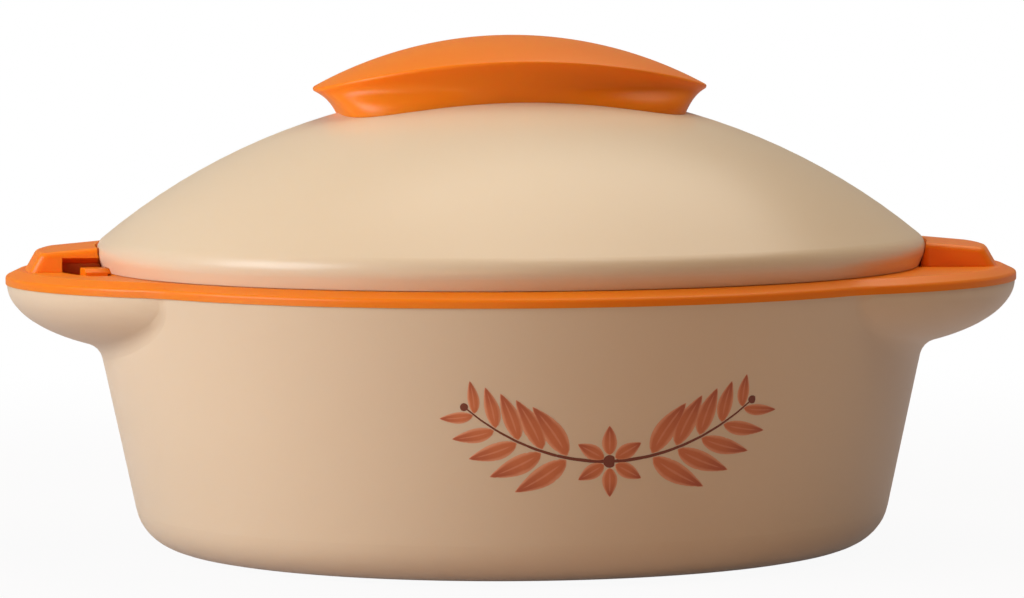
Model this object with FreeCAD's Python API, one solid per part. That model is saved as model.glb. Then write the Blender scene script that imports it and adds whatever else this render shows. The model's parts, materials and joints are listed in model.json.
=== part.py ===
import FreeCAD, Part
import math
import os

# Insulated chapati casserole: a foam-filled base with a steel bowl, and a foam-filled twist-lock lid.
# Millimetres. The origin is on the table under the middle of the bowl, +Z is up, the handles lie along X
# and the front is towards -Y. The lid is modelled unlocked: turned anticlockwise from above by twist_angle.

Vector = FreeCAD.Vector
ORIGIN = Vector(0, 0, 0)
UP = Vector(0, 0, 1)

# Outer shell
shell_top = 79.0              # height of the shell's top edge above the table
shell_top_radius = 126.1
wall_lean = 12.0              # degrees that the wall closes in towards the foot
shell_wall = 2.4
corner_radius = 14.2          # round between the wall and the underside
underside_height = 0.8        # the underside's height above the table

# Handles: each is a wing, round in plan about an axis of its own
wing_radius = 86.5            # at the collar's edge
wing_axis_inset = 63.0        # from the collar's round edge in to the wing's axis
collar_overhang = 0.4         # the collar's edge stands this far outside the shell
boat_round_width = 45.8       # the handle's underside is a quarter ellipse, this wide
boat_depth = 20.0             # and this deep
boat_fillet = 6.0             # between the underside and the wall

# Rim collar
collar_face = 2.3             # height of the upright outer edge
collar_rise = 1.9             # further rise of the bevel above it
collar_bevel = 4.0            # width of that bevel
collar_edge_round = 0.9       # on both edges of the bevel
wing_blend_radius = 30.0      # inside round between the wings and the ring
collar_lip_width = 3.8        # standing lip that carries the bowl
collar_lip_height = 5.0       # above the collar's top
collar_skirt_depth = 4.0      # ring that locates the collar in the shell
collar_skirt_width = 2.0
collar_skirt_gap = 0.2

# Lid dome
dome_ledge = 2.6              # collar left uncovered outside the lid
dome_rise = 45.8              # from the edge where dome and skirt would meet to the apex
dome_wall = 2.4
dome_shoulder_round = 5.0
skirt_gap = 0.15              # over the collar's top
skirt_height = 6.7            # from the skirt's bottom to that edge
skirt_taper = 2.8             # the skirt closes in by this towards its bottom

# Lock ring of the lid and its lugs
ring_width = 5.4              # from the skirt's bottom edge inwards
ring_height = 4.0
twist_angle = 7.0             # degrees from unlocked to locked
lug_width = 10.0
lug_skirt_gap = 0.9           # between the skirt's bottom edge and the lug's tooth
lug_length = 6.6              # the tooth's, outwards
lug_ramp = 1.0                # bevel on the two upper edges that meet the pocket
lug_notch_gap = 0.2
lug_floor_gap = 0.4           # to the pocket's floor
lug_roof_gap = 0.5
lug_mouth_gap = 1.0           # between the unlocked lug and the mouth
lug_stop_gap = 0.37           # between the locked lug and the pocket's end

# Lock hoods and their pockets
hood_setback = 5.8            # from the wing's edge in to the hood's foot
hood_draft = 3.2              # the hood's side leans in by this
hood_wall = 5.5               # from the hood's top edge in to the pocket
hood_roof = 3.5               # from the pocket's ceiling up to the hood's outer top edge
hood_crown = 1.9              # further rise towards the lid
hood_mouth_reach = 24.0       # from the handle's middle to the mouth
hood_back_reach = 19.0        # from the handle's middle to the closed end
hood_inner_gap = 0.5          # to the widest part of the lid
hood_corner_round = 2.5
hood_lid_corner_round = 3.0   # at the closed end, beside the lid
hood_top_round = 1.8
pocket_floor = 2.0            # plate left under the pocket
pocket_height = 4.3
pocket_skirt_gap = 0.2        # the pocket starts this far outside the skirt's bottom edge
pocket_flare = 2.1            # extra height of the mouth
pocket_flare_length = 8.0
track_margin = 7.0            # open track beyond the unlocked lug

# Steel bowl
bowl_floor_height = 14.0      # underside of the bowl's floor
bowl_sheet = 0.6
bowl_collar_gap = 0.8         # between the bowl's wall and the collar's lip
bowl_taper = 11.8             # the wall closes in by this down to the floor's line
bowl_corner_radius = 18.0
bowl_rim_overhang = 1.2       # the turned-down edge stands this far outside the lip
bowl_rim_drop = 2.4           # rim's turned-down edge
bowl_ring_gap = 1.0           # between that edge and the lid's lock ring
bowl_lip_gap = 0.6
bowl_seal_height = 0.6

# Foam
foam_gap = 0.15               # skin left between the foam and what holds it

# Base plate and plugs
plate_thickness = 2.2
plate_recess = 0.3            # the plate's underside stays this far above the table
foot_ring_setback = 8.0       # from the edge of the underside's flat in to the foot ring
foot_ring_width = 6.0
foot_opening_margin = 2.0     # underside left inside the foot ring
plate_spigot_gap = 0.2
plug_hole_radius = 7.0
plug_head_radius = 10.0
plug_head_height = 1.0
plug_length = 4.0
plug_gap = 0.05

# Lid inner plate and gasket
inner_wall = 1.8
groove_wall = 1.8             # web outside the gasket's groove
gasket_setback = 0.6          # from the bowl's wall out to the gasket
gasket_width = 3.2
gasket_height = 2.6
gasket_gap = 0.3              # to the bowl's rim, and to the groove it turns in
spigot_gap = 1.3              # between the lid's spigot and the bowl's mouth
spigot_depth = 3.0            # reach of the spigot below the bowl's rim
ceiling_height = 6.0          # inner ceiling above the spigot's root
ceiling_crown = 1.5
ceiling_round = 4.0

# Knob
knob_base_length = 50.1       # half length at the foot
knob_base_width = 35.2        # half width at the foot
knob_flare_length = 9.3       # growth of the half length up to the tip
knob_flare_width = 5.0
knob_length_power = 2.5       # how late in the wall's height that growth comes
knob_width_power = 3.0
knob_foot_squareness = 4.0    # exponent of the plan's superellipse at the foot
knob_tip_squareness = 1.9     # and from the tips up
knob_outline_points = 48
knob_wall_sections = 8
knob_height = 15.8            # above the dome's apex
knob_arch_radius = 121.0
knob_crown_radius = 115.0
knob_arch_half_angle = 40.0   # degrees, past the knob's tips
knob_crown_half_angle = 30.0  # degrees, past its sides
knob_wall = 2.6
knob_edge_round = 0.8         # between the walls and the crown
boss_spacing = 28.0           # from the middle to each screw boss
boss_radius = 5.0
screw_radius = 2.0
screw_gap = 0.05
screw_bite = 10.0             # thread length in the boss
screw_head_radius = 4.0
screw_head_height = 2.6
washer_radius = 6.0
washer_thickness = 1.0

# ---- worked out from the sizes above ----
weld = 0.5                    # overlap of two solids before they are joined or cut
collar_top = shell_top + collar_face + collar_rise
collar_radius = shell_top_radius + collar_overhang
wing_offset = collar_radius - wing_axis_inset
far = wing_offset + 2 * wing_radius
skirt_bottom = collar_top + skirt_gap
dome_rim_radius = collar_radius - dome_ledge
skirt_bottom_radius = dome_rim_radius - skirt_taper
dome_radius = (dome_rim_radius**2 + dome_rise**2) / (2 * dome_rise)
dome_apex = skirt_bottom + skirt_height + dome_rise
dome_centre = dome_apex - dome_radius
ring_inner_radius = skirt_bottom_radius - ring_width
ring_top = skirt_bottom + ring_height
lip_top = collar_top + collar_lip_height
collar_lip_outer = ring_inner_radius - bowl_ring_gap - bowl_rim_overhang
collar_lip_inner = collar_lip_outer - collar_lip_width
bowl_top_radius = collar_lip_inner - bowl_collar_gap
bowl_bottom_radius = bowl_top_radius - bowl_taper
rim_underside = lip_top + bowl_seal_height
bowl_top = rim_underside + bowl_sheet
gasket_inner_radius = bowl_top_radius + gasket_setback
gasket_bottom = bowl_top + gasket_gap
lug_inner_radius = skirt_bottom_radius + lug_skirt_gap
lug_tip_radius = lug_inner_radius + lug_length
lug_height = pocket_height - lug_floor_gap - lug_roof_gap
hood_foot_radius = wing_radius - hood_setback
hood_top_radius = hood_foot_radius - hood_draft
hood_side_height = shell_top + pocket_floor + pocket_height + hood_roof - collar_top
pocket_outer_radius = hood_top_radius - hood_wall
pocket_inner_radius = skirt_bottom_radius + pocket_skirt_gap
lid_way_radius = skirt_bottom_radius + hood_inner_gap
knob_top = dome_apex + knob_height
lean = math.tan(math.radians(wall_lean))


def save(name, shape):
    shape.exportStep("parts/" + name + ".step")
    solids = shape.Solids
    print(f"{name:18s} solids {len(solids)} volume {shape.Volume:12.1f} valid {shape.isValid()}")


def point(radius, height):
    return Vector(radius, 0, height)


def line(a, b):
    return Part.makeLine(point(*a), point(*b))


def arc(a, middle, b):
    return Part.Arc(point(*a), point(*middle), point(*b)).toShape()


def turned(edges, axis_x=0.0, seam=90.0):
    """Solid of revolution of a closed (radius, height) profile about an upright axis at axis_x."""
    face = Part.Face(Part.Wire(Part.__sortEdges__(edges)))
    solid = face.revolve(ORIGIN, UP, 360)
    solid.rotate(ORIGIN, UP, seam)
    solid.translate(Vector(axis_x, 0, 0))
    return solid


def turned_polygon(points, axis_x=0.0):
    closed = points + points[:1]
    return turned([line(a, b) for a, b in zip(closed, closed[1:])], axis_x)


def disc(radius, bottom, top, x=0.0, y=0.0):
    return Part.makeCylinder(radius, top - bottom, Vector(x, y, bottom), UP)


def ring(inner, outer, bottom, top):
    return disc(outer, bottom, top).cut(disc(inner, bottom, top))


def half_turned(shape):
    """The same shape on the other handle, half a turn round."""
    other = shape.copy()
    other.rotate(ORIGIN, UP, 180)
    return other


def on_lid(shape):
    """Turns a lid piece from its locked place, in line with the handles, to its unlocked rest."""
    placed = shape.copy()
    placed.rotate(ORIGIN, UP, twist_angle)
    return placed


# ---- base ----
def wall_radius(height, inset=0.0):
    """Outer radius of the shell's wall at a height, set in square to the wall by inset."""
    return shell_top_radius - (shell_top - height) * lean - inset / math.cos(math.radians(wall_lean))


def underside_radius():
    """Radius of the flat of the shell's underside, inside the corner's round."""
    return wall_radius(underside_height + corner_radius) - corner_radius / math.cos(math.radians(wall_lean))


def foot_ring_outer():
    return underside_radius() - foot_ring_setback


def foot_opening_radius():
    return foot_ring_outer() - foot_ring_width - foot_opening_margin


def shell_body(inset):
    """The filled cone of the shell with its rounded bottom, set in by inset on all sides but the top."""
    bottom = underside_height + inset
    radius = corner_radius - inset
    centre_height = bottom + radius
    centre_radius = wall_radius(centre_height, inset) - radius / math.cos(math.radians(wall_lean))
    angles = (-90, -90 + (90 - wall_lean) / 2, -wall_lean)
    low, middle, high = [
        (
            centre_radius + radius * math.cos(math.radians(angle)),
            centre_height + radius * math.sin(math.radians(angle)),
        )
        for angle in angles
    ]
    top = (wall_radius(shell_top, inset), shell_top)
    edges = [
        line((0, bottom), low),
        arc(low, middle, high),
        line(high, top),
        line(top, (0, shell_top)),
        line((0, shell_top), (0, bottom)),
    ]
    return turned(edges)


def boat(inset, axis_x):
    """One handle's underside as a filled bowl about the wing axis, set in by inset."""
    keel = wing_radius - collar_overhang - boat_round_width
    width = boat_round_width - inset
    depth = boat_depth - inset
    keel_top = point(keel, shell_top)
    oval = Part.Ellipse(point(keel + width, shell_top), point(keel, shell_top + depth), keel_top)
    edges = [
        Part.ArcOfEllipse(oval, 1.5 * math.pi, 2 * math.pi).toShape(),
        line((keel, shell_top - depth), (0, shell_top - depth)),
        line((0, shell_top - depth), (0, shell_top)),
        line((0, shell_top), (keel + width, shell_top)),
    ]
    return turned(edges, axis_x, 180.0 if axis_x > 0 else 0.0)


def shell_solid(inset):
    solid = shell_body(inset)
    for axis_x in (-wing_offset, wing_offset):
        solid = solid.fuse(boat(inset, axis_x))
    return solid.removeSplitter()


def is_boat_seam(edge):
    """The edge where a handle's underside meets the wall, from the top edge down and up again."""
    box = edge.BoundBox
    return box.ZMax > shell_top - boat_depth / 2 and shell_top - boat_depth < box.ZMin < shell_top - 1


def outer_shell():
    outside = shell_solid(0.0)
    outside = outside.makeFillet(boat_fillet, [edge for edge in outside.Edges if is_boat_seam(edge)])
    shell = outside.cut(shell_solid(shell_wall))
    return shell.cut(disc(foot_opening_radius(), 0, underside_height + 2 * shell_wall))


def plan(inset, height):
    """The collar's outline at a height, set in by inset: a ring and two wings with rounded inside corners."""
    ring_radius = collar_radius - inset
    wing = wing_radius - inset
    blend = wing_blend_radius + inset
    reach = ring_radius + blend
    centre_x = (reach**2 - (wing + blend) ** 2 + wing_offset**2) / (2 * wing_offset)
    centre_y = math.sqrt(reach**2 - centre_x**2)
    on_ring = Vector(centre_x, centre_y, 0) * (ring_radius / reach)
    step = wing / (wing + blend)
    on_wing = Vector(wing_offset + (centre_x - wing_offset) * step, centre_y * step, 0)
    towards = Vector(wing_offset / 2 - centre_x, -centre_y, 0).normalize()
    on_blend = Vector(centre_x, centre_y, 0) + towards * blend

    def placed(vector, sx, sy):
        return Vector(vector.x * sx, vector.y * sy, height)

    edges = []
    for sx in (1, -1):
        tip = Vector(sx * (wing_offset + wing), 0, height)
        edges.append(Part.Arc(placed(on_wing, sx, 1), tip, placed(on_wing, sx, -1)).toShape())
        for sy in (1, -1):
            blend_arc = Part.Arc(placed(on_wing, sx, sy), placed(on_blend, sx, sy), placed(on_ring, sx, sy))
            edges.append(blend_arc.toShape())
    for sy in (1, -1):
        middle = Vector(0, sy * ring_radius, height)
        edges.append(Part.Arc(placed(on_ring, 1, sy), middle, placed(on_ring, -1, sy)).toShape())
    return Part.Face(Part.Wire(Part.__sortEdges__(edges)))


def hood():
    """The raised hood on the +X handle; its mouth looks towards +Y."""
    outline = [
        (0, shell_top + collar_face),
        (hood_foot_radius, shell_top + collar_face),
        (hood_foot_radius, collar_top),
        (hood_top_radius, collar_top + hood_side_height),
        (pocket_inner_radius - wing_offset, collar_top + hood_side_height + hood_crown),
        (0, collar_top + hood_side_height + hood_crown),
    ]
    block = turned_polygon(outline, wing_offset)
    width = hood_mouth_reach + hood_back_reach
    slab = Part.makeBox(wing_radius, width, shell_top, Vector(wing_offset, -hood_back_reach, shell_top))
    block = block.common(slab)
    block = block.cut(disc(lid_way_radius, shell_top, 2 * shell_top))
    block = block.makeFillet(hood_corner_round, [edge for edge in block.Edges if is_hood_corner(edge)])
    block = block.makeFillet(hood_lid_corner_round, [edge for edge in block.Edges if is_lid_corner(edge)])
    block = block.cut(lid_way())
    return block.makeFillet(hood_top_round, [edge for edge in block.Edges if is_hood_top(edge)])


def hood_inner_radius():
    """The hoods end clear of the widest part of the lid's shoulder."""
    return shoulder_centre()[0] + dome_shoulder_round + hood_inner_gap


def lid_way():
    """The room that the lid turns in and lifts through: along its skirt, then straight up from its shoulder."""
    outline = [
        (0, shell_top),
        (lid_way_radius, shell_top),
        (lid_way_radius, skirt_bottom),
        (hood_inner_radius(), shoulder_centre()[1]),
        (hood_inner_radius(), 2 * shell_top),
        (0, 2 * shell_top),
    ]
    return turned_polygon(outline)


def is_hood_corner(edge):
    """The hood's two outer edges that run up from the collar."""
    reaches = [math.hypot(vertex.X - wing_offset, vertex.Y) for vertex in edge.Vertexes]
    return min(reaches) > pocket_outer_radius and edge.BoundBox.ZLength > hood_side_height / 2


def is_lid_corner(edge):
    """The edge that runs up beside the lid at the hood's closed end."""
    box = edge.BoundBox
    beside = max(math.hypot(vertex.X, vertex.Y) for vertex in edge.Vertexes) < lid_way_radius + weld
    return beside and box.YMax < weld - hood_back_reach and box.ZLength > hood_side_height / 2


def is_hood_top(edge):
    """The edges around the hood's top, but for the one beside the lid."""
    reaches = [math.hypot(vertex.X, vertex.Y) for vertex in edge.Vertexes]
    high = edge.BoundBox.ZMin > collar_top + hood_side_height / 2
    return high and max(reaches) > hood_inner_radius() + weld


def pocket_stop_reach():
    """From the handle's middle to the pocket's end, which stops the locked lug."""
    angle = math.radians(lug_angle())
    return lug_inner_radius * math.sin(angle) - lug_width / 2 * math.cos(angle) - lug_stop_gap


def pocket():
    """What is cut from the +X handle: the pocket under the hood, its flared mouth and the open track."""
    floor = shell_top + pocket_floor
    ceiling = floor + pocket_height
    high = collar_top + 2 * hood_side_height
    track_reach = hood_mouth_reach + lug_mouth_gap + lug_width + track_margin

    def band(bottom, top):
        crescent = disc(pocket_outer_radius, bottom, top, wing_offset)
        return crescent.cut(disc(pocket_inner_radius, bottom, top))

    def slab(near, far, bottom, top):
        return Part.makeBox(wing_radius, far - near, top - bottom, Vector(wing_offset, near, bottom))

    inside = band(floor, ceiling).common(slab(pocket_stop_reach(), track_reach, floor, ceiling))
    track = band(floor, high).common(slab(hood_mouth_reach, track_reach, floor, high))
    start = hood_mouth_reach - pocket_flare_length
    flare_points = [
        Vector(wing_offset, start, ceiling - weld),
        Vector(wing_offset, start, ceiling),
        Vector(wing_offset, hood_mouth_reach, ceiling + pocket_flare),
        Vector(wing_offset, hood_mouth_reach + weld, ceiling + pocket_flare),
        Vector(wing_offset, hood_mouth_reach + weld, ceiling - weld),
        Vector(wing_offset, start, ceiling - weld),
    ]
    wedge = Part.Face(Part.makePolygon(flare_points)).extrude(Vector(wing_radius, 0, 0))
    flare = band(floor, high).common(wedge)
    return inside.fuse(track).fuse(flare)


def rim_collar():
    collar = bevelled_plate()
    collar = collar.fuse(disc(collar_lip_outer, collar_top - weld, lip_top))
    collar = collar.fuse(skirt_ring(0.0))
    collar = collar.cut(disc(collar_lip_inner, shell_top - collar_skirt_depth, lip_top + weld))
    for half in (hood(), half_turned(hood())):
        collar = collar.fuse(half)
    for half in (pocket(), half_turned(pocket())):
        collar = collar.cut(half)
    return collar.removeSplitter()


def bevelled_plate():
    """The collar's plate, with its upper outer edge bevelled."""
    face_top = shell_top + collar_face
    lower = plan(0.0, face_top).extrude(Vector(0, 0, -collar_face))
    outlines = [plan(0.0, face_top).OuterWire, plan(collar_bevel, collar_top).OuterWire]
    plate = lower.fuse(Part.makeLoft(outlines, True, True))
    return plate.makeFillet(collar_edge_round, [edge for edge in plate.Edges if is_bevel_edge(edge)])


def is_bevel_edge(edge):
    """The edges along the foot and the top of the collar's bevel."""
    box = edge.BoundBox
    level = box.ZLength < 0.01
    return level and min(abs(box.ZMax - shell_top - collar_face), abs(box.ZMax - collar_top)) < 0.01


def bowl_solid(inset, top):
    """The steel bowl as a filled body up to a height, set in by inset."""
    bottom = bowl_floor_height + inset
    rise = bowl_top - bowl_floor_height
    slope = (bowl_top_radius - bowl_bottom_radius) / rise
    tilt = math.atan(slope)
    radius = bowl_corner_radius - inset

    def wall(height):
        return bowl_bottom_radius + (height - bowl_floor_height) * slope - inset / math.cos(tilt)

    centre_height = bottom + radius
    centre_radius = wall(centre_height) - radius / math.cos(tilt)
    low, middle, high = [
        (centre_radius + radius * math.cos(angle), centre_height + radius * math.sin(angle))
        for angle in (-math.pi / 2, -math.pi / 4 - tilt / 2, -tilt)
    ]
    edges = [
        line((0, bottom), low),
        arc(low, middle, high),
        line(high, (wall(top), top)),
        line((wall(top), top), (0, top)),
        line((0, top), (0, bottom)),
    ]
    return turned(edges)


def inner_bowl():
    bowl = bowl_solid(0.0, bowl_top)
    rim_outer = collar_lip_outer + bowl_rim_overhang
    bowl = bowl.fuse(disc(rim_outer, rim_underside, bowl_top))
    bowl = bowl.fuse(ring(rim_outer - bowl_sheet, rim_outer, bowl_top - bowl_rim_drop, bowl_top))
    return bowl.cut(bowl_solid(bowl_sheet, bowl_top + bowl_sheet)).removeSplitter()


def bowl_rim_seal():
    inset = bowl_lip_gap / 2
    return ring(collar_lip_inner + inset, collar_lip_outer - inset, lip_top, rim_underside)


def skirt_ring(grow):
    """The collar's locating ring inside the shell, grown on all sides by grow."""
    outer = wall_radius(shell_top - collar_skirt_depth, shell_wall) - collar_skirt_gap
    bottom = shell_top - collar_skirt_depth - grow
    return ring(outer - collar_skirt_width - grow, outer + grow, bottom, collar_top - collar_rise)


def body_foam():
    inset = shell_wall + foam_gap
    foam = shell_solid(inset)
    top = shell_top - foam_gap
    foam = foam.cut(disc(far, top, lip_top))
    foam = foam.cut(bowl_solid(-foam_gap, lip_top)).cut(skirt_ring(foam_gap))
    return foam.cut(disc(plug_hole_radius, 0, plug_inner_end() + foam_gap))


def plug_inner_end():
    return plate_recess + plug_head_height + plug_length


def base_plate():
    shelf = underside_height
    outer = foot_ring_outer()
    foot_ring = ring(outer - foot_ring_width, outer, 0, shelf)
    plate = foot_ring.fuse(disc(outer - foot_ring_width / 2, plate_recess, shelf))
    spigot = foot_opening_radius() - plate_spigot_gap
    plate = plate.fuse(disc(spigot, plate_recess, plate_recess + plate_thickness))
    plate = plate.cut(disc(plug_hole_radius, 0, shell_top))
    return plate.cut(disc(plug_head_radius, 0, plate_recess + plug_head_height)).removeSplitter()


def base_fill_plug():
    shelf = plate_recess + plug_head_height
    head = disc(plug_head_radius - plug_gap, plate_recess, shelf)
    return head.fuse(disc(plug_hole_radius - plug_gap, shelf, plug_inner_end())).removeSplitter()


# ---- lid ----
def skirt_inside(height, inset=dome_wall):
    """Radius of the lid skirt's inner face at a height."""
    slope = skirt_taper / skirt_height
    return skirt_bottom_radius - inset * math.hypot(1, slope) + (height - skirt_bottom) * slope


def shoulder_centre():
    """Centre, as (radius, height), of the round that joins the skirt to the dome."""
    slope = skirt_taper / skirt_height
    radius = dome_radius - dome_shoulder_round
    foot = skirt_inside(skirt_bottom, dome_shoulder_round)
    a = 1 + slope**2
    b = 2 * (foot * slope + skirt_bottom - dome_centre)
    c = foot**2 + (skirt_bottom - dome_centre) ** 2 - radius**2
    rise = (-b + math.sqrt(b**2 - 4 * a * c)) / (2 * a)
    return foot + rise * slope, skirt_bottom + rise


def lid_solid(inset, bottom):
    """The lid's outside as a filled body from a height up, set in by inset on all other sides."""
    radius, height = shoulder_centre()
    to_skirt = -math.atan2(skirt_taper, skirt_height)
    to_dome = math.atan2(height - dome_centre, radius)
    low, middle, high = [
        (
            radius + (dome_shoulder_round - inset) * math.cos(angle),
            height + (dome_shoulder_round - inset) * math.sin(angle),
        )
        for angle in (to_skirt, (to_skirt + to_dome) / 2, to_dome)
    ]
    face = dome_radius - inset
    half = (math.pi / 2 + to_dome) / 2
    crown = (face * math.cos(half), dome_centre + face * math.sin(half))
    top = (0, dome_centre + face)
    foot = (skirt_inside(bottom, inset), bottom)
    edges = [
        line((0, bottom), foot),
        line(foot, low),
        arc(low, middle, high),
        arc(high, crown, top),
        line(top, (0, bottom)),
    ]
    return turned(edges)


def dome_height(radius, inset=0.0):
    """Height of the dome's face at a distance from its middle."""
    return dome_centre + math.sqrt((dome_radius - inset) ** 2 - radius**2)


def screw_seat():
    """Height of the flat pads inside the dome that the screws pull against."""
    return dome_height(boss_spacing + washer_radius, dome_wall)


def at_screws(make):
    return [make(x) for x in (-boss_spacing, boss_spacing)]


def lid_dome():
    dome = lid_solid(0.0, skirt_bottom).cut(lid_solid(dome_wall, skirt_bottom - dome_wall))
    inside = lid_solid(dome_wall / 2, skirt_bottom)
    for pad in at_screws(lambda x: disc(washer_radius, screw_seat(), dome_apex, x)):
        dome = dome.fuse(pad.common(inside))
    for hole in at_screws(lambda x: disc(screw_radius + 2 * screw_gap, ring_top, knob_top, x)):
        dome = dome.cut(hole)
    dome = dome.cut(disc(plug_hole_radius, ring_top, knob_top))
    for notch in lugs(lug_notch_gap):
        dome = dome.cut(notch)
    return on_lid(dome)


def lug_angle():
    """Degrees from the handle's middle to a locked lug; unlocked, it has just left the hood's mouth."""
    reach = hood_mouth_reach + lug_mouth_gap + lug_width / 2
    return math.degrees(math.asin(reach / hood_inner_radius())) - twist_angle


def lug(grow):
    """The +X lug in its locked place: a tab through the skirt and a tooth that drops into the pocket."""
    tooth_bottom = shell_top + pocket_floor + lug_floor_gap
    tooth_top = tooth_bottom + lug_height
    outline = [
        point(ring_inner_radius, skirt_bottom - grow),
        point(lug_inner_radius - grow, skirt_bottom - grow),
        point(lug_inner_radius - grow, tooth_bottom - grow),
        point(lug_tip_radius + grow, tooth_bottom - grow),
        point(lug_tip_radius + grow, tooth_top + grow),
        point(ring_inner_radius, tooth_top + grow),
    ]
    width = lug_width + 2 * grow
    solid = Part.Face(Part.makePolygon(outline + outline[:1])).extrude(Vector(0, width, 0))
    solid.translate(Vector(0, -width / 2, 0))
    if grow == 0:
        ramps = [e for e in solid.Edges if is_ramp_edge(e, tooth_top)]
        solid = solid.makeChamfer(lug_ramp, ramps)
    solid.rotate(ORIGIN, UP, lug_angle())
    return solid


def is_ramp_edge(edge, tooth_top):
    """The tooth's upper edges that run outwards at its two ends."""
    box = edge.BoundBox
    return box.ZLength < 0.01 and abs(box.ZMax - tooth_top) < 0.01 and box.YLength < 0.01


def lugs(grow=0.0):
    return [lug(grow), half_turned(lug(grow))]


def lid_lock_ring():
    outline = [
        (ring_inner_radius, skirt_bottom),
        (skirt_inside(skirt_bottom), skirt_bottom),
        (skirt_inside(ring_top), ring_top),
        (ring_inner_radius, ring_top),
    ]
    lock_ring = turned_polygon(outline)
    for one in lugs():
        lock_ring = lock_ring.fuse(one)
    return on_lid(lock_ring.removeSplitter())


def spigot_radius():
    return bowl_top_radius - bowl_sheet - spigot_gap


def inner_plate_outlines():
    """The inner plate's lower and upper outlines, from the middle outwards."""
    spigot = spigot_radius()
    spigot_inner = spigot - inner_wall
    spigot_bottom = bowl_top - spigot_depth
    shelf = bowl_top + 2 * gasket_gap
    groove_inner = gasket_inner_radius - gasket_gap
    groove_outer = gasket_inner_radius + gasket_width + gasket_gap
    groove_top = gasket_bottom + gasket_height + gasket_gap
    web_outer = groove_outer + groove_wall
    ceiling = shelf + ceiling_height
    flange_top = ring_top + inner_wall
    step = ring_inner_radius + inner_wall
    edge = skirt_inside(ring_top)
    lower = [
        (0, ceiling + ceiling_crown),
        (spigot_inner - ceiling_round, ceiling),
        (spigot_inner, ceiling - ceiling_round),
        (spigot_inner, spigot_bottom),
        (spigot, spigot_bottom),
        (spigot, shelf),
        (groove_inner, shelf),
        (groove_inner, groove_top),
        (groove_outer, groove_top),
        (groove_outer, shelf),
        (ring_inner_radius, shelf),
        (ring_inner_radius, ring_top),
        (edge, ring_top),
    ]
    upper = [
        (0, ceiling + ceiling_crown + inner_wall),
        (spigot_inner - ceiling_round, ceiling + inner_wall),
        (web_outer, groove_top + inner_wall),
        (web_outer, shelf + inner_wall),
        (step, shelf + inner_wall),
        (step, flange_top),
        (edge, flange_top),
    ]
    return lower, upper


def lid_inner_plate():
    lower, upper = inner_plate_outlines()
    return turned_polygon(lower + upper[::-1])


def lid_gasket():
    outer = gasket_inner_radius + gasket_width
    return ring(gasket_inner_radius, outer, gasket_bottom, gasket_bottom + gasket_height)


def lid_foam():
    ceiling = inner_plate_outlines()[1][:3]
    raised = [(radius, height + foam_gap) for radius, height in ceiling]
    web_outer = raised[-1][0]
    mould = turned_polygon(raised + [(web_outer, knob_top), (0, knob_top)])
    foam = lid_solid(dome_wall + foam_gap, ring_top).common(mould)
    foam = foam.cut(disc(plug_hole_radius, dome_apex - plug_length - foam_gap, dome_apex))
    seat = screw_seat()
    well = seat - washer_thickness - screw_head_height - foam_gap
    for hole in at_screws(lambda x: disc(washer_radius + foam_gap, well, knob_top, x)):
        foam = foam.cut(hole)
    return on_lid(foam)


def lid_fill_plug():
    shank = disc(plug_hole_radius - plug_gap, dome_apex - plug_length, dome_apex)
    return shank.fuse(disc(plug_head_radius, dome_apex, dome_apex + plug_head_height)).removeSplitter()


def oval(length, width, squareness, height):
    """A closed superellipse at a height, with half lengths length along X and width along Y."""
    power = 2 / squareness
    points = []
    for i in range(knob_outline_points):
        angle = 2 * math.pi * i / knob_outline_points
        c, s = math.cos(angle), math.sin(angle)
        x = length * math.copysign(abs(c) ** power, c)
        y = width * math.copysign(abs(s) ** power, s)
        points.append(Vector(x, y, height))
    curve = Part.BSplineCurve()
    curve.interpolate(points, PeriodicFlag=True)
    return Part.Wire(curve.toShape())


def drop(radius, reach):
    """How far an arch of this radius has fallen at a reach from its middle."""
    return radius - math.sqrt(radius**2 - reach**2)


def knob_solid(inset):
    """The knob as a filled body: flared oval walls under a crown arched along and across."""
    low = dome_height(knob_base_length) - 2 * knob_wall
    high = knob_top + knob_wall
    tip_height = knob_top - drop(knob_arch_radius, knob_base_length + knob_flare_length)
    side_height = knob_top - drop(knob_crown_radius, knob_base_width + knob_flare_width)
    sections = []
    for i in range(knob_wall_sections + 1):
        height = low + (high - low) * i / knob_wall_sections
        along = (height - low) / (tip_height - low)
        across = (height - low) / (side_height - low)
        length = knob_base_length + knob_flare_length * along**knob_length_power - inset
        width = knob_base_width + knob_flare_width * across**knob_width_power - inset
        growth = min(1.0, along**knob_length_power)
        squareness = knob_foot_squareness + (knob_tip_squareness - knob_foot_squareness) * growth
        sections.append(oval(length, width, squareness, height))
    walls = Part.makeLoft(sections, True)
    return walls.common(knob_arch(inset, low - knob_wall))


def knob_arch(inset, bottom):
    """A beam with the knob's crowned top, bent along the knob's arch, from bottom up."""
    top = knob_top - inset
    radius = knob_crown_radius - inset
    span = math.radians(knob_crown_half_angle)
    reach = radius * math.sin(span)
    edge = top - radius + radius * math.cos(span)
    corners = [Vector(0, y, z) for y, z in ((-reach, edge), (-reach, bottom), (reach, bottom), (reach, edge))]
    crown_edges = [Part.Arc(corners[0], Vector(0, 0, top), corners[3]).toShape()]
    crown_edges += [Part.makeLine(a, b) for a, b in zip(corners, corners[1:])]
    face = Part.Face(Part.Wire(Part.__sortEdges__(crown_edges)))
    arch_centre = Vector(0, 0, knob_top - knob_arch_radius)
    face.rotate(arch_centre, Vector(0, 1, 0), -knob_arch_half_angle)
    return face.revolve(arch_centre, Vector(0, 1, 0), 2 * knob_arch_half_angle)


def is_knob_crease(edge):
    """The closed edge between the knob's walls and its crown."""
    box = edge.BoundBox
    return box.XLength > knob_base_length and box.ZMin > dome_height(knob_base_length)


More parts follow.
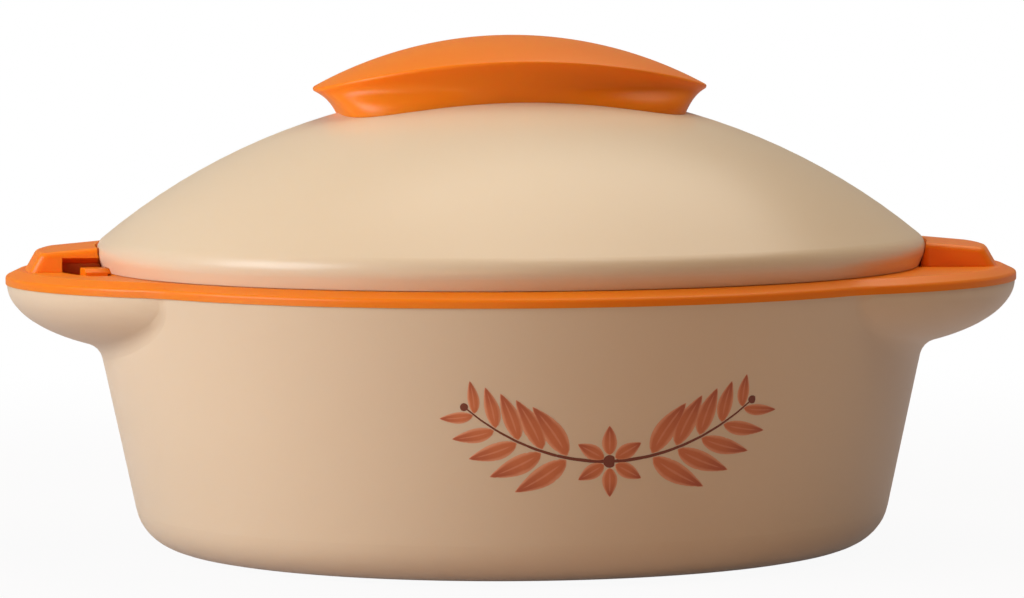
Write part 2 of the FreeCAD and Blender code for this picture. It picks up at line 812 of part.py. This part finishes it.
def knob():
    outside = knob_solid(0.0)
    outside = outside.makeFillet(knob_edge_round, [edge for edge in outside.Edges if is_knob_crease(edge)])
    shell = outside.cut(knob_solid(knob_wall))
    inside = knob_solid(knob_wall / 2)
    for boss in at_screws(lambda x: disc(boss_radius, ring_top, knob_top, x)):
        shell = shell.fuse(boss.common(inside))
    bore_top = dome_height(boss_spacing) + screw_bite + screw_gap
    for bore in at_screws(lambda x: disc(screw_radius + screw_gap, ring_top, bore_top, x)):
        shell = shell.cut(bore)
    shell = shell.cut(Part.makeSphere(dome_radius, Vector(0, 0, dome_centre)))
    return on_lid(shell)


def knob_screws():
    head_top = screw_seat() - washer_thickness
    end = dome_height(boss_spacing) + screw_bite

    def screw(x):
        head = disc(screw_head_radius, head_top - screw_head_height, head_top, x)
        return head.fuse(disc(screw_radius, head_top, end, x)).removeSplitter()

    return on_lid(Part.makeCompound(at_screws(screw)))


def knob_washers():
    seat = screw_seat()

    def washer(x):
        hole = disc(screw_radius + 2 * screw_gap, seat - washer_thickness, seat, x)
        return disc(washer_radius, seat - washer_thickness, seat, x).cut(hole)

    return on_lid(Part.makeCompound(at_screws(washer)))


NODES = [
    outer_shell,
    rim_collar,
    inner_bowl,
    bowl_rim_seal,
    body_foam,
    base_plate,
    base_fill_plug,
    lid_dome,
    lid_lock_ring,
    lid_inner_plate,
    lid_gasket,
    lid_foam,
    lid_fill_plug,
    knob,
    knob_screws,
    knob_washers,
]

os.makedirs("parts", exist_ok=True)
for make_node in NODES:
    save(make_node.__name__, make_node())
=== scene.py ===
import json
import math

import bmesh
import bpy
from mathutils import Euler, Matrix, Vector


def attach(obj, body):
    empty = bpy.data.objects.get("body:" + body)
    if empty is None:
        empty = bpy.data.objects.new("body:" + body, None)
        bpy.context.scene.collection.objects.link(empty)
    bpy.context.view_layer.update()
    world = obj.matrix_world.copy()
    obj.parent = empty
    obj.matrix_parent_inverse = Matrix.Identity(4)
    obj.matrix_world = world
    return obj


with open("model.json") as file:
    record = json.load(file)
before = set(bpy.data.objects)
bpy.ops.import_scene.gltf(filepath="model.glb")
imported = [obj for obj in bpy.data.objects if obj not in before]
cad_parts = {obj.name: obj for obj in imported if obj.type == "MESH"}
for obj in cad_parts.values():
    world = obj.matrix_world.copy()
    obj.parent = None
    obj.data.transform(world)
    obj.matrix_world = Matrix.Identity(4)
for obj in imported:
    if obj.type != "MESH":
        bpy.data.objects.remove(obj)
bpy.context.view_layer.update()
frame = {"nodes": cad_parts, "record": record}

MM = 0.001
NODES = frame["nodes"]

# ---- camera and stage ----
IMAGE_WIDTH = 1024
CAMERA_DISTANCE = 1.5
CAMERA_HEIGHT = 0.17486
CAMERA_PITCH = 3.882          # degrees, downwards
CAMERA_ROLL = -0.30           # degrees, about the line of sight
CAMERA_SHIFT = 0.0003         # metres to the right of the middle
LENS_PIXELS = 5049.9          # focal length, in pixels of an image that wide
SENSOR_WIDTH = 36.0           # millimetres
FLOOR_REACH = 60.0
FLOOR_CORNERS = 64
FLOOR_PAPER = (0.52, 0.44, 0.44)
FLOOR_WHITE_SHARE = (0.94, 1.0)  # near the object and far off; the rest keeps the shadow
FLOOR_FADE = (0.2, 0.7)       # metres from the middle between which it goes white
WHITE = (1.0, 1.0, 1.0)
REFLECTED_WHITE_SHARE = 0.2   # of the white that the object's surfaces reflect

# ---- light ----
ROOM_LIGHT = (1.0, 0.75, 0.55)
ROOM_STRENGTH = 0.07
AIM = (0.0, 0.0, 0.07)        # every lamp points here
LAMPS = {                     # place, size, watts, colour
    "window_left": ((-1.4, -0.55, 0.62), (0.9, 0.9), 22.4, (0.895, 0.95, 0.985)),
    "overhead": ((0.34, 0.15, 1.3), (1.6, 1.2), 14.2, (1.0, 0.935, 0.80)),
    "table_glow": ((-0.3, -1.6, 0.08), (0.9, 0.3), 4.6, (1.0, 0.60, 0.27)),
}

# ---- colours, linear ----
CREAM = (0.77, 0.602, 0.43)
ORANGE = (0.95, 0.215, 0.003)
IVORY = (0.82, 0.72, 0.56)
STEEL = (0.66, 0.655, 0.64)
ZINC = (0.50, 0.50, 0.49)
SILICONE = (0.80, 0.78, 0.72)
FOAM = (0.80, 0.68, 0.40)
PLASTIC_GLOW = 0.4            # share of the light that enters the plastic and comes out beside
SILICONE_GLOW = 0.15
LEAF_INK = (0.64, 0.175, 0.065)
LEAF_TIP_INK = (0.44, 0.095, 0.04)
LEAF_EDGE_INK = (0.80, 0.36, 0.20)
STEM_INK = (0.20, 0.045, 0.02)

# ---- the garland printed on the front wall ----
GARLAND_PLACE = (27 * MM, 44 * MM)    # its middle, across and above the table
GARLAND_SPAN = 80 * MM
GARLAND_DIP = 15 * MM
STEM_ENDS = (0.5, 0.5)        # from the middle, as shares of the span and the dip
STEM_HANDLES = (0.2, -0.9)    # the same for the curve's two inner handles
STEM_WIDTH = 1.1 * MM
STEM_TAPER = (1.15, 1.4)      # share of the width at the middle, and its fall for one stem length
STEM_POINTS = (81, 3)         # along and across
STEM_DOTS = {0.0: 1.4 * MM, 0.5: 2.2 * MM, 1.0: 1.4 * MM}  # radius by place along the stem
DOT_CORNERS = 24
LEAF_PAIRS = 10
LEAF_LENGTH = 17 * MM
LEAF_WIDTH = 6.4 * MM
LEAF_LEAN = math.radians(52)  # from the stem
LEAF_SHRINK = (1.02, 0.55, 1.6)  # share of the length at the blossom, loss to the end, its exponent
LEAF_BEND = -0.14             # how far the tip swings down, as a share of the length
LEAF_GAP = 0.03               # bare share of the length between the stem and the leaf
LEAF_POINTS = (13, 7)         # along and across
LEAF_BELLY = (0.8, 0.9)       # exponents: below 1 the belly sits nearer the stalk, and is fuller
LEAF_TIP = 6.0                # exponent: higher keeps the rim nearer to both tips
PETALS = 6
PETAL_SIZE = 0.5              # of a leaf's length
PETAL_FATNESS = 0.27
PETAL_GAP = 0.2
BLOSSOM_GAP = 0.09            # bare share of the stem each side of its middle
INK_HEIGHT = 0.08 * MM
INK_ROUNDING = (0.93, 0.999)  # shares of the way to the rim between which the film comes down
STEM_RISE = 0.4               # ink heights that the stem stands above the leaves
SUNK_SHARE = 0.3              # of the ink's height, at the film's edge and back
STEM_END_RIM = 60.0           # exponent: the stem's rim closes round its last step only
PAD_REACH = 0.2               # the flat pattern stands this far in front, as a printing pad does
DOUBLES_REACH = 0.001 * MM
CREASE = math.radians(40)


class Number:
    """A value in a node tree. Its operators add Math nodes."""

    def __init__(self, tree, socket):
        self.tree = tree
        self.socket = socket

    def calculate(self, operation, *terms):
        node = self.tree.node("ShaderNodeMath", {"operation": operation}, dict(enumerate(terms)))
        return Number(self.tree, node.outputs[0])

    def __add__(self, other):
        return self.calculate("ADD", self, other)

    __radd__ = __add__

    def __sub__(self, other):
        return self.calculate("SUBTRACT", self, other)

    def __rsub__(self, other):
        return self.calculate("SUBTRACT", other, self)

    def __mul__(self, other):
        return self.calculate("MULTIPLY", self, other)

    __rmul__ = __mul__

    def __truediv__(self, other):
        return self.calculate("DIVIDE", self, other)

    def __rtruediv__(self, other):
        return self.calculate("DIVIDE", other, self)

    def __pow__(self, other):
        return self.calculate("POWER", self, other)

    def size(self):
        return self.calculate("ABSOLUTE", self)

    def sign(self):
        return self.calculate("SIGN", self)

    def sine(self):
        return self.calculate("SINE", self)

    def at_least(self, other):
        return self.calculate("MAXIMUM", self, other)

    def angle_over(self, other):
        """The angle whose tangent is this value over the other."""
        return self.calculate("ARCTAN2", self, other)

    def step_from(self, low, high):
        """Runs smoothly from 0 at low to 1 at high."""
        settings = {"interpolation_type": "SMOOTHSTEP", "clamp": True}
        node = self.tree.node("ShaderNodeMapRange", settings, {0: self, 1: low, 2: high})
        return Number(self.tree, node.outputs[0])


class Tree:
    """A node tree. One method adds any node."""

    def __init__(self, tree):
        self.tree = tree

    def set(self, node, socket, value):
        target = node.inputs[socket]
        if isinstance(value, Number):
            value = value.socket
        if isinstance(value, bpy.types.NodeSocket):
            self.tree.links.new(value, target)
        elif target.type == "RGBA":
            target.default_value = (*value, 1.0)
        else:
            target.default_value = value

    def node(self, kind, settings=None, values=None):
        """Adds a node: its settings first, then a value or a link for each socket named."""
        node = self.tree.nodes.new(kind)
        for name, value in (settings or {}).items():
            setattr(node, name, value)
        for socket, value in (values or {}).items():
            self.set(node, socket, value)
        return node

    def split(self, vector):
        node = self.node("ShaderNodeSeparateXYZ", None, {0: vector})
        return [Number(self, socket) for socket in node.outputs]

    def join(self, x, y, z):
        return self.node("ShaderNodeCombineXYZ", None, {0: x, 1: y, 2: z}).outputs[0]


class Finish(Tree):
    """A material: one Principled shader and the nodes that feed it."""

    def __init__(self, name, constants=None):
        self.material = bpy.data.materials.new(name)
        self.material.use_nodes = True
        super().__init__(self.material.node_tree)
        self.shader = self.tree.nodes["Principled BSDF"]
        for socket, value in (constants or {}).items():
            self.set(self.shader, socket, value)

    def place(self):
        return self.node("ShaderNodeTexCoord").outputs["Object"]

    def attribute(self, name):
        return Number(self, self.node("ShaderNodeAttribute", {"attribute_name": name}).outputs["Fac"])

    def noise(self, scale, detail=2.0, vector=None):
        """Cloudy noise of about scale cells to the metre, each with detail finer layers."""
        values = {"Vector": vector or self.place(), "Scale": scale, "Detail": detail}
        return Number(self, self.node("ShaderNodeTexNoise", None, values).outputs[0])

    def mix(self, factor, first, second):
        """A colour between first and second."""
        values = {0: factor, 6: first, 7: second}
        return self.node("ShaderNodeMix", {"data_type": "RGBA"}, values).outputs[2]

    def mottle(self, factor, colour, darkest, palest=1.0):
        """A colour between its own darkest and palest shade."""
        return self.mix(factor, shade(colour, darkest), shade(colour, palest))

    def colour(self, value):
        self.set(self.shader, "Base Color", value)

    def roughness(self, value):
        self.set(self.shader, "Roughness", value)

    def bump(self, height, strength, distance):
        values = {"Strength": strength, "Distance": distance, "Height": height}
        self.set(self.shader, "Normal", self.node("ShaderNodeBump", None, values).outputs[0])


class Pattern(Tree):
    """A geometry tree with named inputs, each given as (socket type, value)."""

    def __init__(self, name, inputs):
        super().__init__(bpy.data.node_groups.new(name, "GeometryNodeTree"))
        self.name = name
        self.values = {}
        for label, (kind, value) in inputs.items():
            socket = self.tree.interface.new_socket(label, in_out="INPUT", socket_type=kind)
            self.values[socket.identifier] = value
        self.tree.interface.new_socket("Geometry", in_out="OUTPUT", socket_type="NodeSocketGeometry")
        self.given = self.node("NodeGroupInput").outputs

    def input(self, label):
        return Number(self, self.given[label])

    def mesh(self, kind, settings=None, values=None):
        """The geometry that a node gives."""
        return self.node(kind, settings, values).outputs[0]

    def position(self):
        return self.node("GeometryNodeInputPosition").outputs[0]

    def moved(self, mesh, position):
        return self.mesh("GeometryNodeSetPosition", None, {"Geometry": mesh, "Position": position})

    def marked(self, mesh, name, value):
        values = {"Geometry": mesh, "Name": name, "Value": value}
        return self.mesh("GeometryNodeStoreNamedAttribute", None, values)

    def attribute(self, name):
        node = self.node("GeometryNodeInputNamedAttribute", {"data_type": "FLOAT"}, {"Name": name})
        return Number(self, node.outputs[0])

    def joined(self, meshes):
        node = self.node("GeometryNodeJoinGeometry")
        for mesh in meshes:
            self.tree.links.new(mesh, node.inputs[0])
        return node.outputs[0]

    def baked(self, result):
        """The result as one plain mesh, with its doubles merged and its faces outwards."""
        self.node("NodeGroupOutput", None, {0: result})
        carrier = bpy.data.objects.new(self.name, bpy.data.meshes.new(self.name))
        bpy.context.scene.collection.objects.link(carrier)
        modifier = carrier.modifiers.new(self.name, "NODES")
        modifier.node_group = self.tree
        for identifier, value in self.values.items():
            modifier[identifier] = value
        depsgraph = bpy.context.evaluated_depsgraph_get()
        evaluated = carrier.evaluated_get(depsgraph)
        mesh = bpy.data.meshes.new_from_object(
            evaluated, preserve_all_data_layers=True, depsgraph=depsgraph)
        carrier.modifiers.remove(modifier)
        carrier.data = mesh
        shape = bmesh.new()
        shape.from_mesh(mesh)
        bmesh.ops.remove_doubles(shape, verts=shape.verts, dist=DOUBLES_REACH)
        bmesh.ops.recalc_face_normals(shape, faces=shape.faces)
        shape.to_mesh(mesh)
        shape.free()
        drop_empty_slots(mesh)
        mesh.shade_smooth()
        mesh.set_sharp_from_angle(angle=CREASE)
        return carrier


def drop_empty_slots(mesh):
    """Takes out the slots without a finish, and each face keeps its own finish."""
    finishes = [finish for finish in mesh.materials if finish]
    worn = [finishes.index(mesh.materials[face.material_index]) for face in mesh.polygons]
    mesh.materials.clear()
    for finish in finishes:
        mesh.materials.append(finish)
    mesh.polygons.foreach_set("material_index", worn)


def shade(colour, share):
    """The colour, darker where share is below 1."""
    return tuple(channel * share for channel in colour)


# ---- finishes ----
def moulded_plastic(name, colour, roughness, gloss, depth):
    """Plastic that light enters to a depth: faint flow clouds, an uneven gloss, a rubbed foot ring."""
    finish = Finish(name, {
        "Specular IOR Level": gloss,
        "Subsurface Weight": PLASTIC_GLOW,
        "Subsurface Radius": tuple(channel ** 0.5 for channel in colour),
        "Subsurface Scale": depth,
    })
    clouds = finish.noise(scale=7.0).step_from(low=0.3, high=0.7)
    body = finish.mottle(clouds, colour, darkest=0.985, palest=1.015)
    foot = 1 - finish.split(finish.place())[2].step_from(low=0.1 * MM, high=0.4 * MM)
    rubbed = foot * finish.noise(scale=140.0, detail=6.0).step_from(low=0.42, high=0.62)
    finish.colour(finish.mix(0.35 * rubbed, body, shade(colour, 0.6)))
    finish.roughness(roughness + 0.05 * finish.noise(scale=16.0) + 0.2 * rubbed)
    finish.bump(finish.noise(scale=620.0), strength=0.05, distance=0.2 * MM)
    return finish.material


def matte_plastic(name, colour, roughness):
    """Plastic from a finely blasted mould."""
    finish = Finish(name)
    clouds = finish.noise(scale=12.0, detail=3.0)
    finish.colour(finish.mottle(clouds, colour, darkest=0.95, palest=1.03))
    finish.roughness(roughness + 0.1 * finish.noise(scale=60.0, detail=4.0))
    finish.bump(finish.noise(scale=1500.0), strength=0.12, distance=0.1 * MM)
    return finish.material


def spun_steel(name, colour, roughness):
    """Stainless steel that was spun and polished on a lathe: fine rings about the upright axis."""
    finish = Finish(name, {"Metallic": 1.0})
    x, y, z = finish.split(finish.place())
    rings = finish.join((x * x + y * y) ** 0.5, z, 0.0)
    fine = finish.noise(scale=2600.0, detail=3.0, vector=rings)
    broad = finish.noise(scale=160.0, vector=rings)
    finish.colour(finish.mottle(broad, colour, darkest=0.92, palest=1.04))
    finish.roughness(roughness + 0.12 * fine)
    finish.bump(fine, strength=0.12, distance=0.05 * MM)
    return finish.material


def zinc_plate(name, colour, roughness):
    """Plated steel, dull and finely grained."""
    finish = Finish(name, {"Metallic": 1.0})
    grain = finish.noise(scale=900.0, detail=3.0)
    finish.colour(finish.mottle(grain, colour, darkest=0.85, palest=1.1))
    finish.roughness(roughness + 0.15 * grain)
    return finish.material


def rubber(name, colour, roughness, depth):
    """Milky silicone with a little dust on it, which light enters to a depth."""
    finish = Finish(name, {"Subsurface Weight": SILICONE_GLOW, "Subsurface Scale": depth})
    dust = finish.noise(scale=45.0, detail=4.0)
    finish.colour(finish.mottle(dust, colour, darkest=0.94))
    finish.roughness(roughness + 0.16 * dust)
    finish.bump(finish.noise(scale=900.0), strength=0.1, distance=0.1 * MM)
    return finish.material


def rigid_foam(name, colour, roughness):
    """Poured foam, a skin of small closed cells."""
    finish = Finish(name)
    values = {"Vector": finish.place(), "Scale": 700.0}
    cells = Number(finish, finish.node("ShaderNodeTexVoronoi", None, values).outputs["Distance"])
    finish.colour(finish.mottle(cells, colour, darkest=0.8))
    finish.roughness(roughness - 0.1 * cells)
    finish.bump(cells, strength=0.5, distance=0.4 * MM)
    return finish.material


def pad_print(name, ink, tip_ink, edge_ink, roughness=0.38, gloss=0.4):
    """Ink laid on by a pad: deeper towards the leaf's tip, paler along its edges and vein, grainy."""
    finish = Finish(name, {"Specular IOR Level": gloss})
    grain = finish.noise(scale=900.0, detail=4.0)
    wander = 0.3 * (finish.noise(scale=260.0, detail=3.0) - 0.5)
    rim = finish.attribute("rim")
    towards_tip = (finish.attribute("along") + wander).step_from(low=0.35, high=1.0)
    body = finish.mix(towards_tip, ink, tip_ink)
    body = finish.mix(0.25 * grain, body, shade(ink, 0.75))
    edge = (rim + wander).step_from(low=0.5, high=0.9)
    vein = 1 - (rim + 0.3 * wander).step_from(low=0.02, high=0.16)
    finish.colour(finish.mix(0.85 * (edge + 0.5 * vein), body, edge_ink))
    finish.roughness(roughness + 0.12 * grain)
    finish.bump(grain, strength=0.1, distance=0.02 * MM)
    return finish.material


FINISHES = {
    "shell_cream": moulded_plastic("shell_cream", CREAM, roughness=0.31, gloss=0.4, depth=2.5 * MM),
    "trim_orange": moulded_plastic("trim_orange", ORANGE, roughness=0.36, gloss=0.28, depth=6 * MM),
    "liner_ivory": matte_plastic("liner_ivory", IVORY, roughness=0.5),
    "bowl_steel": spun_steel("bowl_steel", STEEL, roughness=0.16),
    "screw_steel": zinc_plate("screw_steel", ZINC, roughness=0.32),
    "silicone": rubber("silicone", SILICONE, roughness=0.42, depth=4 * MM),
    "foam": rigid_foam("foam", FOAM, roughness=0.85),
}


def paint_nodes():
    """Gives each solid the finish of its slot in the record."""
    for part in frame["record"]["subparts"]:
        mesh = NODES[part["node"]].data
        mesh.materials.clear()
        mesh.materials.append(FINISHES[part["material_slot"]])


# ---- the printed garland ----
def leaf(pattern, fatness, bend, start):
    """A flat almond leaf of length 1 along X from start, in the XZ plane; fatness is its half width."""
    points_along, points_across = LEAF_POINTS
    values = {"Size X": 1.0, "Size Y": 2.0, "Vertices X": points_along, "Vertices Y": points_across}
    grid = pattern.mesh("GeometryNodeMeshGrid", None, values)
    along, across, _ = pattern.split(pattern.position())
    along = along + 0.5
    lean, fullness = LEAF_BELLY
    belly = (along ** lean * math.pi).sine().at_least(0.0) ** fullness
    tip = (along - 0.5).size() * 2
    marked = pattern.marked(grid, "rim", (tip ** LEAF_TIP).at_least(across.size()))
    marked = pattern.marked(marked, "along", along)
    outline = across * belly * fatness + along * along * bend
    return pattern.moved(marked, pattern.join(along + start, 0.0, outline))


def garland(wall):
    """Leaf pairs along a dipping stem with a blossom in the middle, drawn flat and laid on the wall."""
    leaf_ink = pad_print("leaf_ink", LEAF_INK, LEAF_TIP_INK, LEAF_EDGE_INK)
    stem_ink = pad_print("stem_ink", STEM_INK, STEM_INK, STEM_INK)
    pattern = Pattern("garland_print", {
        "Wall": ("NodeSocketObject", wall),
        "Across": ("NodeSocketFloat", GARLAND_PLACE[0]),
        "Height": ("NodeSocketFloat", GARLAND_PLACE[1]),
        "Span": ("NodeSocketFloat", GARLAND_SPAN),
        "Dip": ("NodeSocketFloat", GARLAND_DIP),
        "Leaf Pairs": ("NodeSocketInt", LEAF_PAIRS),
        "Leaf Length": ("NodeSocketFloat", LEAF_LENGTH),
        "Leaf Width": ("NodeSocketFloat", LEAF_WIDTH),
        "Stem Width": ("NodeSocketFloat", STEM_WIDTH),
        "Ink Height": ("NodeSocketFloat", INK_HEIGHT),
        "Leaf Ink": ("NodeSocketMaterial", leaf_ink),
        "Stem Ink": ("NodeSocketMaterial", stem_ink),
    })
    span = pattern.input("Span")
    dip = pattern.input("Dip")
    length = pattern.input("Leaf Length")
    index = Number(pattern, pattern.node("GeometryNodeInputIndex").outputs[0])
    (end_x, end_z), (handle_x, handle_z) = STEM_ENDS, STEM_HANDLES
    stem = pattern.mesh("GeometryNodeCurvePrimitiveBezierSegment", None, {
        "Start": pattern.join(span * -end_x, 0.0, dip * end_z),
        "Start Handle": pattern.join(span * -handle_x, 0.0, dip * handle_z),
        "End Handle": pattern.join(span * handle_x, 0.0, dip * handle_z),
        "End": pattern.join(span * end_x, 0.0, dip * end_z),
    })

    def on_stem(share):
        """Place and direction of the stem at a share of its length."""
        values = {"Curves": stem, "Factor": share}
        node = pattern.node("GeometryNodeSampleCurve", {"mode": "FACTOR"}, values)
        return node.outputs["Position"], pattern.split(node.outputs["Tangent"])

    def placed(count, place, shape, angle, size, side):
        """Copies of a shape at points, each turned in the wall's plane and mirrored where side is -1."""
        values = {
            "Points": pattern.mesh("GeometryNodePoints", None, {"Count": count, "Position": place}),
            "Instance": shape,
            "Rotation": pattern.join(0.0, -1 * angle, 0.0),
            "Scale": pattern.join(size, size, size * side),
        }
        return pattern.mesh("GeometryNodeInstanceOnPoints", None, values)

    def leaves(side):
        """The leaves above (side 1) or below (side -1) the stem, the largest ones beside the blossom."""
        count = pattern.input("Leaf Pairs")
        middle = (index + 0.5) / count - 0.5
        outwards = middle.sign()
        reach = middle.size() * 2
        place, (dx, _, dz) = on_stem(0.5 + outwards * (BLOSSOM_GAP + (0.5 - BLOSSOM_GAP) * reach))
        angle = dz.angle_over(dx) + (1 - outwards) * (math.pi / 2)
        angle = angle + outwards * (side * LEAF_LEAN)
        largest, loss, exponent = LEAF_SHRINK
        size = length * (largest - loss * reach ** exponent)
        almond = leaf(pattern, pattern.input("Leaf Width") / length * 0.5, LEAF_BEND, LEAF_GAP)
        return placed(count, place, almond, angle, size, outwards * side)

    def blossom():
        """Petals round the middle of the stem."""
        place, _ = on_stem(0.5)
        petal = leaf(pattern, PETAL_FATNESS, 0.0, PETAL_GAP)
        angle = (index + 0.5) * (2 * math.pi / PETALS)
        return placed(PETALS, place, petal, angle, length * PETAL_SIZE, 1.0)

    def dot(share, radius):
        """A round dot of stem ink at a share of the stem's length."""
        settings = {"fill_type": "TRIANGLE_FAN"}
        values = {"Vertices": DOT_CORNERS, "Radius": radius}
        disc = pattern.mesh("GeometryNodeMeshCircle", settings, values)
        x, y, _ = pattern.split(pattern.position())
        disc = pattern.marked(disc, "rim", (x * x + y * y) ** 0.5 / radius)
        disc = pattern.moved(disc, pattern.join(x, 0.0, y))
        place, _ = on_stem(share)
        return pattern.mesh("GeometryNodeTransform", None, {"Geometry": disc, "Translation": place})

    def stalk():
        """The stem as a ribbon that thins towards both ends."""
        points_along, points_across = STEM_POINTS
        values = {"Size X": 1.0, "Size Y": 1.0, "Vertices X": points_along, "Vertices Y": points_across}
        grid = pattern.mesh("GeometryNodeMeshGrid", None, values)
        along, across, _ = pattern.split(pattern.position())
        place, (dx, _, dz) = on_stem(along + 0.5)
        x, _, z = pattern.split(place)
        widest, loss = STEM_TAPER
        width = pattern.input("Stem Width") * (widest - along.size() * loss)
        ribbon = pattern.join(x - dz * across * width, 0.0, z + dx * across * width)
        rim = (across.size() * 2).at_least((along.size() * 2) ** STEM_END_RIM)
        return pattern.moved(pattern.marked(grid, "rim", rim), ribbon)

    foliage = pattern.marked(pattern.joined([leaves(1), leaves(-1), blossom()]), "stem", 0.0)
    dots = [dot(share, radius) for share, radius in STEM_DOTS.items()]
    lines = pattern.marked(pattern.joined([stalk(), *dots]), "stem", 1.0)
    flat = pattern.mesh("GeometryNodeRealizeInstances", None, {0: pattern.joined([foliage, lines])})
    x, _, z = pattern.split(pattern.position())
    front = pattern.join(x + pattern.input("Across"), -PAD_REACH, z + pattern.input("Height"))
    flat = pattern.moved(flat, front)
    is_stem = pattern.attribute("stem")
    inside = 1 - pattern.attribute("rim").step_from(*INK_ROUNDING)
    top = on_wall(pattern, flat, inside * (1 + SUNK_SHARE + STEM_RISE * is_stem) - SUNK_SHARE)
    back = on_wall(pattern, pattern.mesh("GeometryNodeFlipFaces", None, {0: flat}), -SUNK_SHARE)
    film = pattern.mesh("GeometryNodeRealizeInstances", None, {0: pattern.joined([top, back])})
    values = {"Geometry": film, "Material": pattern.input("Leaf Ink")}
    inked = pattern.mesh("GeometryNodeSetMaterial", None, values)
    values = {"Geometry": inked, "Selection": is_stem, "Material": pattern.input("Stem Ink")}
    return pattern.baked(pattern.mesh("GeometryNodeSetMaterial", None, values))


def on_wall(pattern, flat, proud):
    """Moves each point straight back onto the wall, proud of it by a share of the ink's height."""
    wall = pattern.node("GeometryNodeObjectInfo", None, {"Object": pattern.input("Wall")})
    hit = pattern.node("GeometryNodeRaycast", None, {
        "Target Geometry": wall.outputs["Geometry"],
        "Ray Direction": (0, 1, 0),
        "Ray Length": 2 * PAD_REACH,
    })
    values = {"Vector": hit.outputs["Hit Normal"], "Scale": proud * pattern.input("Ink Height")}
    push = pattern.node("ShaderNodeVectorMath", {"operation": "SCALE"}, values).outputs[0]
    values = {0: hit.outputs["Hit Position"], 1: push}
    place = pattern.node("ShaderNodeVectorMath", {"operation": "ADD"}, values).outputs[0]
    return pattern.moved(flat, place)


# ---- stage ----
def camera():
    """The view from the front, a little above level."""
    data = bpy.data.cameras.new("camera")
    data.sensor_width = SENSOR_WIDTH
    data.lens = SENSOR_WIDTH * LENS_PIXELS / IMAGE_WIDTH
    data.clip_end = 4 * FLOOR_REACH
    eye = bpy.data.objects.new("camera", data)
    tilt = Euler((math.radians(90 - CAMERA_PITCH), 0, 0)).to_matrix()
    roll = Matrix.Rotation(math.radians(CAMERA_ROLL), 3, "Z")
    eye.matrix_world = (tilt @ roll).to_4x4()
    eye.location = (CAMERA_SHIFT, -CAMERA_DISTANCE, CAMERA_HEIGHT)
    bpy.context.scene.collection.objects.link(eye)
    bpy.context.scene.camera = eye


def lamp(name, place, size, watts, colour):
    """A soft rectangular lamp that points at the object."""
    data = bpy.data.lights.new(name, "AREA")
    data.shape = "RECTANGLE"
    data.size, data.size_y = size
    data.energy = watts
    data.color = colour
    light = bpy.data.objects.new(name, data)
    light.location = place
    light.rotation_euler = (Vector(AIM) - Vector(place)).to_track_quat("-Z", "Y").to_euler()
    bpy.context.scene.collection.objects.link(light)


def shown_white(tree, plain, white, share):
    """Mixes the shader plain with white by share, for rays that show the background."""
    path = tree.node("ShaderNodeLightPath")
    seen = Number(tree, path.outputs["Is Camera Ray"])
    for kind in ("Glossy", "Transmission"):
        seen = seen.at_least(Number(tree, path.outputs[f"Is {kind} Ray"]) * REFLECTED_WHITE_SHARE)
    values = {0: seen * share, 1: plain.outputs[0], 2: white.outputs[0]}
    return tree.node("ShaderNodeMixShader", None, values)


def floor():
    """White paper that keeps the object's shadow near it."""
    bpy.ops.mesh.primitive_circle_add(vertices=FLOOR_CORNERS, radius=FLOOR_REACH, fill_type="NGON")
    sheet = bpy.context.object
    sheet.name = "floor"
    paper = Finish("floor", {"Base Color": FLOOR_PAPER, "Roughness": 0.9, "Specular IOR Level": 0.1})
    x, y, _ = paper.split(paper.place())
    far = ((x * x + y * y) ** 0.5).step_from(*FLOOR_FADE)
    near_share, far_share = FLOOR_WHITE_SHARE
    glow = paper.node("ShaderNodeEmission", None, {"Color": WHITE})
    share = far * (far_share - near_share) + near_share
    mix = shown_white(paper, paper.shader, glow, share)
    paper.set(paper.tree.nodes["Material Output"], "Surface", mix.outputs[0])
    sheet.data.materials.append(paper.material)


def room():
    """A faint warm room, white where the background shows."""
    world = bpy.data.worlds.new("studio")
    world.use_nodes = True
    tree = Tree(world.node_tree)
    plain = world.node_tree.nodes["Background"]
    tree.set(plain, "Color", ROOM_LIGHT)
    tree.set(plain, "Strength", ROOM_STRENGTH)
    white = tree.node("ShaderNodeBackground", None, {"Color": WHITE})
    mix = shown_white(tree, plain, white, 1.0)
    tree.set(world.node_tree.nodes["World Output"], "Surface", mix.outputs[0])
    bpy.context.scene.world = world


paint_nodes()
camera()
floor()
room()
for lamp_name, lamp_sizes in LAMPS.items():
    lamp(lamp_name, *lamp_sizes)

garland_print = garland(NODES["outer_shell"])
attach(garland_print, "base")

bpy.context.scene.view_settings.view_transform = "Standard"
